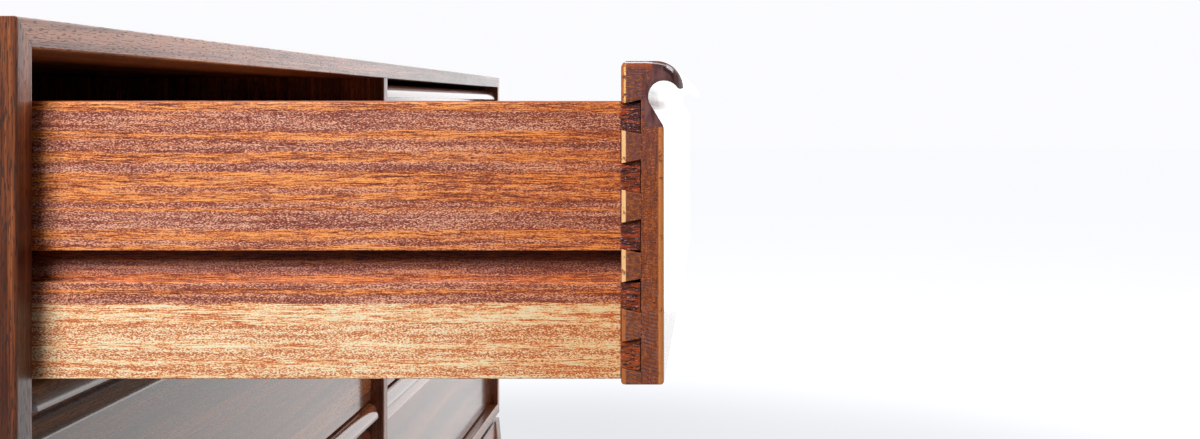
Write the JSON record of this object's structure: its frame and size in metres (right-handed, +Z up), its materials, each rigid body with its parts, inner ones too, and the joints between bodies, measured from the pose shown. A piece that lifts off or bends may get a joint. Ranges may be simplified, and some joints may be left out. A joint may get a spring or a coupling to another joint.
{
  "type": "dresser",
  "caption": "Low wide wooden dresser on splayed legs; drawers in two columns with carved lip pulls, dovetailed sides and grooved side runners.",
  "frame": {"origin": "bottom centre of the whole dresser's box on the floor, with the upper left drawer standing open as pictured", "axes": "+X along the dresser's width, to the right of someone who faces it; -Y the way the drawers open; +Z up"},
  "size_m": [1.552, 0.8076, 0.7455],
  "materials": {
    "front_teak": "satin lacquer on solid wood",
    "side_mahogany": "satin lacquer on solid ribbon-figured wood",
    "case_veneer": "satin lacquer on veneered board",
    "frame_wood": "satin lacquer on solid wood",
    "runner_wood": "waxed hardwood",
    "inner_wood": "plain sawn softwood",
    "panel_wood": "sealed plywood",
    "screw_steel": "dull zinc-plated steel",
    "glide_nylon": "matt"
  },
  "bodies": {
    "case": {"case_top": "case_veneer", "case_bottom": "case_veneer", "case_side_left": "case_veneer", "case_side_right": "case_veneer", "case_partition": "case_veneer", "case_back": "panel_wood", "runners_side_left": "runner_wood", "runners_partition_left": "runner_wood", "runners_partition_right": "runner_wood", "runners_side_right": "runner_wood", "runner_screws": "screw_steel", "back_screws": "screw_steel", "leg_front_left": "frame_wood", "leg_front_right": "frame_wood", "leg_back_left": "frame_wood", "leg_back_right": "frame_wood", "rail_front": "frame_wood", "rail_back": "frame_wood", "rail_left": "frame_wood", "rail_right": "frame_wood", "frame_stretcher": "frame_wood", "corner_blocks": "inner_wood", "frame_spacers": "inner_wood", "frame_screws": "screw_steel", "foot_glides": "glide_nylon"},
    "drawer_top_left": {"drawer_top_left_front": "front_teak", "drawer_top_left_side_left": "side_mahogany", "drawer_top_left_side_right": "side_mahogany", "drawer_top_left_back": "side_mahogany", "drawer_top_left_bottom": "panel_wood"},
    "drawer_top_right": {"drawer_top_right_front": "front_teak", "drawer_top_right_side_left": "side_mahogany", "drawer_top_right_side_right": "side_mahogany", "drawer_top_right_back": "side_mahogany", "drawer_top_right_bottom": "panel_wood"},
    "drawer_middle_left": {"drawer_middle_left_front": "front_teak", "drawer_middle_left_side_left": "side_mahogany", "drawer_middle_left_side_right": "side_mahogany", "drawer_middle_left_back": "side_mahogany", "drawer_middle_left_bottom": "panel_wood"},
    "drawer_middle_right": {"drawer_middle_right_front": "front_teak", "drawer_middle_right_side_left": "side_mahogany", "drawer_middle_right_side_right": "side_mahogany", "drawer_middle_right_back": "side_mahogany", "drawer_middle_right_bottom": "panel_wood"},
    "drawer_bottom_left": {"drawer_bottom_left_front": "front_teak", "drawer_bottom_left_side_left": "side_mahogany", "drawer_bottom_left_side_right": "side_mahogany", "drawer_bottom_left_back": "side_mahogany", "drawer_bottom_left_bottom": "panel_wood"},
    "drawer_bottom_right": {"drawer_bottom_right_front": "front_teak", "drawer_bottom_right_side_left": "side_mahogany", "drawer_bottom_right_side_right": "side_mahogany", "drawer_bottom_right_back": "side_mahogany", "drawer_bottom_right_bottom": "panel_wood"}
  },
  "joints": [
    {"name": "drawer_top_left_slide", "type": "slide", "parent": "case", "child": "drawer_top_left", "axis": [0, -1, 0], "range_m": [-0.335, 0.015]},
    {"name": "drawer_top_right_slide", "type": "slide", "parent": "case", "child": "drawer_top_right", "axis": [0, -1, 0], "range_m": [0, 0.35]},
    {"name": "drawer_middle_left_slide", "type": "slide", "parent": "case", "child": "drawer_middle_left", "axis": [0, -1, 0], "range_m": [0, 0.35]},
    {"name": "drawer_middle_right_slide", "type": "slide", "parent": "case", "child": "drawer_middle_right", "axis": [0, -1, 0], "range_m": [0, 0.35]},
    {"name": "drawer_bottom_left_slide", "type": "slide", "parent": "case", "child": "drawer_bottom_left", "axis": [0, -1, 0], "range_m": [0, 0.35]},
    {"name": "drawer_bottom_right_slide", "type": "slide", "parent": "case", "child": "drawer_bottom_right", "axis": [0, -1, 0], "range_m": [0, 0.35]}
  ]
}
